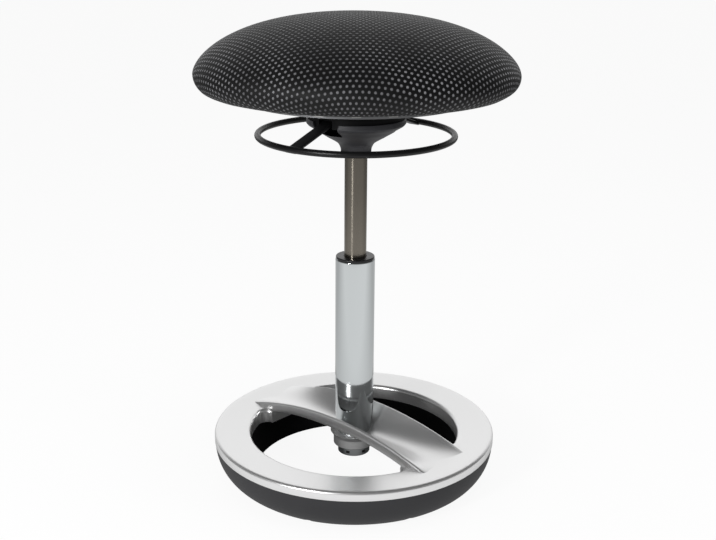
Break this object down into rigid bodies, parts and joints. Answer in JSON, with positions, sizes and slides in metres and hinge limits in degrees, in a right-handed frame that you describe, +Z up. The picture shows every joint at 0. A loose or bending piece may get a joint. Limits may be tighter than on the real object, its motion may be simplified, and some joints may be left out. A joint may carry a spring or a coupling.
{
  "type": "stool",
  "caption": "Height-adjustable wobble stool: domed fabric seat on a turning gas lift, ring lever all round under the seat, and a polished ring base with a rounded rocking underside.",
  "frame": {"origin": "on the floor at the middle of the base, under the column", "axes": "+Z up along the column; +X to the right and -Y to the front as pictured; the lift is fully raised"},
  "size_m": [0.3928, 0.3928, 0.5968],
  "materials": {
    "polished_aluminium": "mirror polished",
    "dark_plastic": "fine moulded grain",
    "black_plastic": "fine moulded grain",
    "pale_plastic": "moulded",
    "chromed_steel": "bright plated",
    "satin_steel": "fine ground",
    "zinc_steel": "plated",
    "black_steel": "satin powder coat",
    "black_rubber": "moulded",
    "stained_plywood": "stained",
    "seat_foam_block": "open foam",
    "dotted_fabric": "stretch knit with raised dots"
  },
  "bodies": {
    "base": {"base_casting": "polished_aluminium", "rocker_ring": "dark_plastic", "rocker_screws": "zinc_steel", "lift_tube": "chromed_steel", "tube_end_plate": "black_steel", "guide_bush": "black_plastic", "lower_bearing_race": "satin_steel"},
    "ball_cage": {"bearing_cage": "pale_plastic", "bearing_balls": "chromed_steel"},
    "rod": {"upper_bearing_race": "satin_steel", "piston_rod": "satin_steel", "rod_clip": "zinc_steel", "piston": "pale_plastic", "rubber_bumper": "black_rubber"},
    "seat": {"gas_cylinder": "satin_steel", "rod_guide": "pale_plastic", "valve_body": "zinc_steel", "seat_socket": "black_steel", "mechanism_cup": "black_steel", "shroud_cone": "dark_plastic", "seat_plate": "zinc_steel", "plate_bolts": "zinc_steel", "tee_nuts": "zinc_steel", "seat_board": "stained_plywood", "seat_foam": "seat_foam_block", "seat_cover": "dotted_fabric", "cover_staples": "zinc_steel"},
    "pin": {"valve_pin": "satin_steel"},
    "lever": {"release_ring": "black_steel", "release_bar": "black_steel"}
  },
  "joints": [
    {"name": "seat_swivel", "type": "hinge", "parent": "base", "child": "rod", "pos_m": [0, 0, 0.04122], "axis": [0, 0, 1], "continuous": true},
    {"name": "cage_turn", "type": "hinge", "parent": "base", "child": "ball_cage", "pos_m": [0, 0, 0.03616], "axis": [0, 0, 1], "continuous": true},
    {"name": "seat_height", "type": "slide", "parent": "rod", "child": "seat", "axis": [0, 0, 1], "range_m": [-0.13, 0]},
    {"name": "ring_lever_lift", "type": "hinge", "parent": "seat", "child": "lever", "pos_m": [-0.01384, -0.0171, 0.48083], "axis": [-0.7771, 0.6293, 0], "range_deg": [0, 4.5], "stiffness_Nm_per_rad": 20, "springref_deg": -1.15},
    {"name": "valve_pin_press", "type": "slide", "parent": "seat", "child": "pin", "axis": [0, 0, 1], "range_m": [-0.00175, 0]}
  ],
  "couplings": [
    {"joint": "cage_turn", "follows": "seat_swivel", "ratio": 0.5},
    {"joint": "valve_pin_press", "follows": "ring_lever_lift", "m_per_rad": -0.022}
  ]
}
